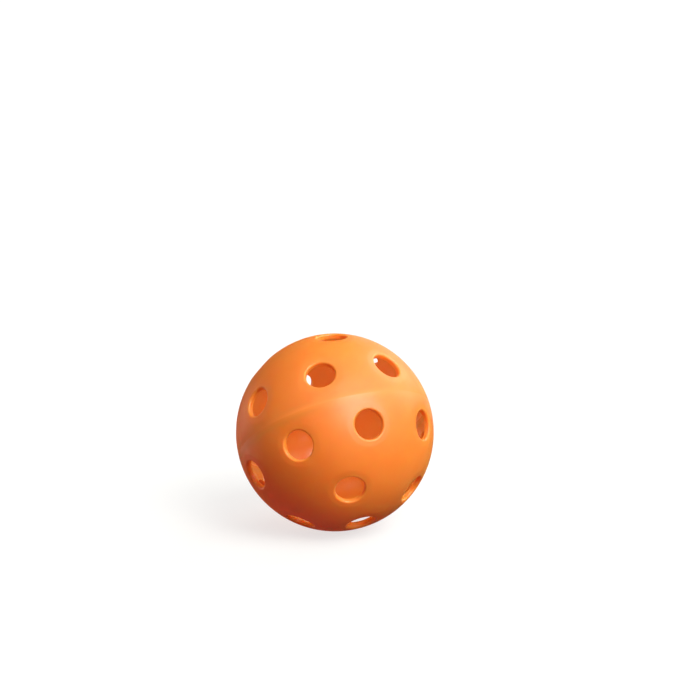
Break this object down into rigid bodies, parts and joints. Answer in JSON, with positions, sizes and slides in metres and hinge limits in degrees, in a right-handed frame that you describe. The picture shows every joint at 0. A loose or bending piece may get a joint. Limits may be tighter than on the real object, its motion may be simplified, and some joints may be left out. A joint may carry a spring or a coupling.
{
  "type": "pickleball ball",
  "caption": "Hollow moulded plastic ball pierced all over by evenly spread round holes, made of half shells welded along a thin seam; struck with a paddle.",
  "frame": {"origin": "centre of the ball", "axes": "+Z out through the top hole, one of the upper ring of four; the moulding axis through both pole holes lies in the YZ plane, with its upper end leaning 36 degrees from +Z towards +Y; the seam plane is square to it and holds the X axis"},
  "size_m": [0.074, 0.074, 0.0735],
  "materials": {
    "shell_plastic": "satin",
    "weld_plastic": "satin"
  },
  "bodies": {
    "root": {"upper_half_shell": "shell_plastic", "lower_half_shell": "shell_plastic", "weld_seam": "weld_plastic"}
  },
  "joints": []
}
